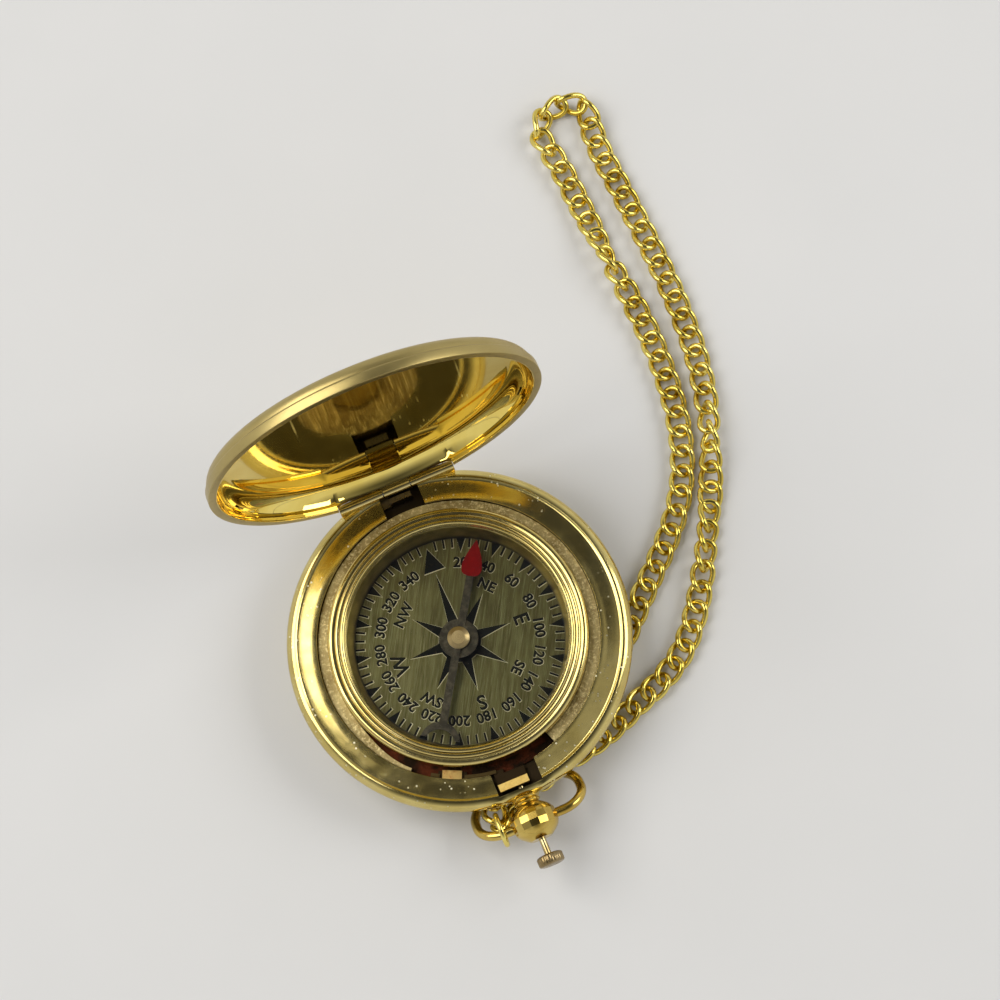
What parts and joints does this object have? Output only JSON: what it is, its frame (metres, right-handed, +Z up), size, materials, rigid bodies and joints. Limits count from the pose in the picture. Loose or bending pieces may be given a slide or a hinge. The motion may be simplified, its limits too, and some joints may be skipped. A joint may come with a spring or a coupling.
{
  "type": "pocket compass",
  "caption": "Brass hunter-case pocket compass: sprung hinged lid, push button in a ball pendant with a swinging bow, dial with pivoted needle under glass, and a curb chain.",
  "frame": {"origin": "centre of the flat foot under the case back", "axes": "+Z up out of the dial, +Y towards the lid hinge, -Y towards the pendant and button, +X along the hinge"},
  "size_m": [0.0693, 0.0972, 0.0521],
  "materials": {
    "case_brass": "polished brass, slightly greenish, with fine scratches",
    "lid_brass": "mirror-polished inside, brushed outside",
    "gilt_spring": "gilt spring strip",
    "spring_steel": "hardened spring steel",
    "clamp_bronze": "tan bronze block",
    "dial_face": "antiqued, brushed, printed in black",
    "glass": "clear flat crystal",
    "needle_steel": "blued dark steel with a red point",
    "cap_brass": "turned brass",
    "jewel": "red pivot jewel",
    "pendant_gilt": "polished gilt brass",
    "button_bronze": "dark bronze with a knurled edge",
    "chain_gilt": "bright gilt wire"
  },
  "bodies": {
    "case": {"back_cover": "case_brass", "case_band": "case_brass", "case_knuckles": "case_brass", "hinge_pin": "spring_steel", "capsule_cup": "case_brass", "dial_plate": "dial_face", "dial_ring": "case_brass", "glass": "glass", "bezel": "case_brass", "pivot_pin": "spring_steel", "lock_spring_clamp": "clamp_bronze", "lift_spring_screw": "spring_steel", "pendant_neck": "pendant_gilt", "pendant_ball": "pendant_gilt", "jump_ring": "chain_gilt", "chain_links": "chain_gilt"},
    "lid": {"lid": "lid_brass", "lid_knuckle": "case_brass"},
    "lift_spring": {"lift_spring": "spring_steel"},
    "button": {"button_shaft": "button_bronze", "button_head": "button_bronze"},
    "lock_spring": {"lock_spring": "gilt_spring"},
    "needle": {"needle": "needle_steel", "needle_hub": "needle_steel", "needle_cap": "cap_brass", "needle_jewel": "jewel"},
    "bow": {"bow": "pendant_gilt"}
  },
  "joints": [
    {"name": "lid_hinge", "type": "hinge", "parent": "case", "child": "lid", "pos_m": [0, 0.0214, 0.00855], "axis": [1, 0, 0], "range_deg": [0, 94], "stiffness_Nm_per_rad": 0.002},
    {"name": "lift_spring_flex", "type": "hinge", "parent": "case", "child": "lift_spring", "pos_m": [-0.01164, 0.01663, 0.0065], "axis": [0, 0, 1], "range_deg": [-3.4, 0]},
    {"name": "button_press", "type": "slide", "parent": "case", "child": "button", "axis": [0, 1, 0], "range_m": [0, 0.0007], "stiffness_N_per_m": 400},
    {"name": "lock_spring_flex", "type": "hinge", "parent": "case", "child": "lock_spring", "pos_m": [-0.00752, -0.01613, 0.0067], "axis": [0, 0, 1], "range_deg": [0, 5.6]},
    {"name": "needle_spin", "type": "hinge", "parent": "case", "child": "needle", "pos_m": [0, 0, 0.0072], "axis": [0, 0, 1], "continuous": true},
    {"name": "bow_swing", "type": "hinge", "parent": "case", "child": "bow", "pos_m": [0, -0.02567, 0.0067], "axis": [-1, 0, 0], "range_deg": [0, 235]}
  ],
  "couplings": [
    {"joint": "lift_spring_flex", "follows": "lid_hinge", "ratio": -0.0339},
    {"joint": "lock_spring_flex", "follows": "button_press", "rad_per_m": 133.3}
  ]
}
